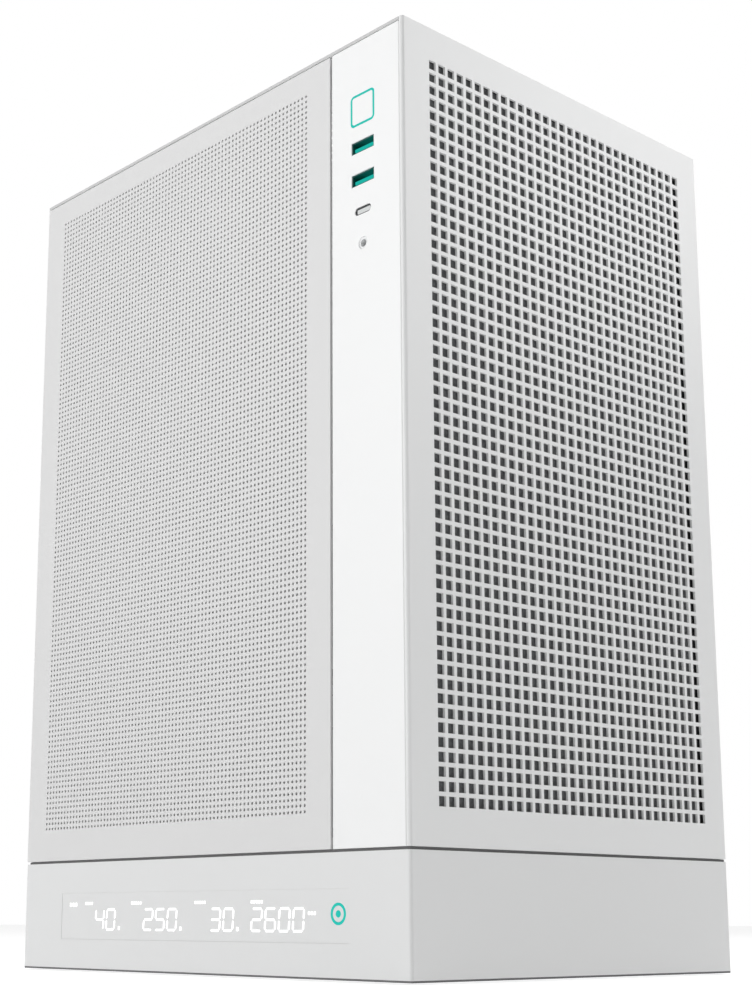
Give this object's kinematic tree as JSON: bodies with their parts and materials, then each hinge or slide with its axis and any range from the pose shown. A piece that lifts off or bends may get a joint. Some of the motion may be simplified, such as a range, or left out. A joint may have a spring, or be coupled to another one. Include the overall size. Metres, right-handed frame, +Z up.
{
  "type": "desktop computer tower",
  "caption": "Upright white desktop computer tower with lift-off vented panels, a lit status strip in the base, front sockets, a power button and a full set of inner parts.",
  "frame": {"origin": "centre of the footprint, on the surface the feet stand on", "axes": "+X towards the front mesh, -Y towards the display and port side, +Z up"},
  "size_m": [0.281, 0.218, 0.4185],
  "materials": {
    "white_plastic": "fine matt white",
    "white_steel": "matt white powder coat",
    "dark_steel": "dark grey powder coat",
    "rubber": "matt",
    "display_white": "translucent white diffuser",
    "board_green": "circuit board with solder mask",
    "board_black": "black circuit board",
    "brass": "turned",
    "screw_steel": "zinc plated",
    "socket_steel": "plated",
    "black_plastic": "matt black",
    "fan_plastic": "satin dark grey",
    "filter_mesh": "fine woven mesh",
    "teal_plastic": "lit teal",
    "fin_aluminium": "fine brushed",
    "card_plastic": "satin light grey"
  },
  "bodies": {
    "case": {"base_skirt": "white_plastic", "foot_1": "rubber", "foot_2": "rubber", "foot_3": "rubber", "foot_4": "rubber", "display_lens": "display_white", "display_board": "board_green", "chassis_frame": "white_steel", "board_tray": "dark_steel", "standoffs": "brass", "rear_panel": "white_steel", "psu_screws": "screw_steel", "fan_screws": "screw_steel", "port_column": "white_plastic", "button_ring": "teal_plastic", "usb_a_1_shell": "socket_steel", "usb_a_2_shell": "socket_steel", "usb_a_1_tongue": "teal_plastic", "usb_a_2_tongue": "teal_plastic", "usb_c_shell": "socket_steel", "usb_c_tongue": "white_plastic", "audio_jack": "white_plastic", "port_board": "board_green", "port_bracket": "dark_steel", "fan_plate": "dark_steel", "front_fan_1_frame": "black_plastic", "front_fan_2_frame": "black_plastic", "cooler_fan_frame": "black_plastic", "rear_fan_frame": "black_plastic", "main_board": "board_black", "board_sockets": "black_plastic", "board_sinks": "fin_aluminium", "memory_1": "board_black", "memory_2": "board_black", "port_shield": "socket_steel", "rear_ports": "socket_steel", "cooler_sink": "fin_aluminium", "card_board": "board_black", "card_shroud": "card_plastic", "card_bracket": "socket_steel", "psu_shelf": "dark_steel", "psu_case": "dark_steel", "psu_inlet": "black_plastic", "switch_bezel": "black_plastic", "solid_drive": "fin_aluminium"},
    "front_cover": {"front_panel": "white_steel", "filter_frame": "black_plastic", "filter_web": "filter_mesh"},
    "left_cover": {"left_panel": "white_steel"},
    "right_cover": {"right_panel": "white_steel"},
    "top_lid": {"top_cover": "white_steel"},
    "button": {"power_button": "white_plastic"},
    "rocker": {"switch_rocker": "black_plastic"},
    "front_rotor_1": {"front_fan_1_rotor": "fan_plastic"},
    "front_rotor_2": {"front_fan_2_rotor": "fan_plastic"},
    "cooler_rotor": {"cooler_fan_rotor": "fan_plastic"},
    "rear_rotor": {"rear_fan_rotor": "fan_plastic"},
    "card_fan_1": {"card_rotor_1": "fan_plastic"},
    "card_fan_2": {"card_rotor_2": "fan_plastic"},
    "supply_rotor": {"psu_rotor": "fan_plastic"}
  },
  "joints": [
    {"name": "front_pull", "type": "slide", "parent": "case", "child": "front_cover", "axis": [1, 0, 0], "range_m": [0, 0.06]},
    {"name": "left_pull", "type": "slide", "parent": "case", "child": "left_cover", "axis": [0, -1, 0], "range_m": [0, 0.06]},
    {"name": "right_pull", "type": "slide", "parent": "case", "child": "right_cover", "axis": [0, 1, 0], "range_m": [0, 0.06]},
    {"name": "top_lift", "type": "slide", "parent": "case", "child": "top_lid", "axis": [0, 0, 1], "range_m": [0, 0.05]},
    {"name": "power_press", "type": "slide", "parent": "case", "child": "button", "axis": [0, 1, 0], "range_m": [0, 0.0015], "stiffness_N_per_m": 400, "springref_m": -0.003},
    {"name": "front_fan_1_spin", "type": "hinge", "parent": "case", "child": "front_rotor_1", "pos_m": [0.1228, 0.0055, 0.1193], "axis": [-1, 0, 0], "continuous": true},
    {"name": "front_fan_2_spin", "type": "hinge", "parent": "case", "child": "front_rotor_2", "pos_m": [0.1228, 0.0055, 0.2408], "axis": [-1, 0, 0], "continuous": true},
    {"name": "cooler_fan_spin", "type": "hinge", "parent": "case", "child": "cooler_rotor", "pos_m": [-0.0125, -0.013, 0.2063], "axis": [-1, 0, 0], "continuous": true},
    {"name": "rear_fan_spin", "type": "hinge", "parent": "case", "child": "rear_rotor", "pos_m": [-0.1265, -0.035, 0.2063], "axis": [-1, 0, 0], "continuous": true},
    {"name": "card_fan_1_spin", "type": "hinge", "parent": "case", "child": "card_fan_1", "pos_m": [-0.07205, 0.0049, 0.0843], "axis": [0, 0, 1], "continuous": true},
    {"name": "card_fan_2_spin", "type": "hinge", "parent": "case", "child": "card_fan_2", "pos_m": [0.03145, 0.0049, 0.0843], "axis": [0, 0, 1], "continuous": true},
    {"name": "supply_fan_spin", "type": "hinge", "parent": "case", "child": "supply_rotor", "pos_m": [-0.0665, -0.002, 0.4021], "axis": [0, 0, 1], "continuous": true},
    {"name": "mains_rocker", "type": "hinge", "parent": "case", "child": "rocker", "pos_m": [-0.1335, 0.03, 0.3871], "axis": [0, 0, 1], "range_deg": [-8, 8]}
  ]
}
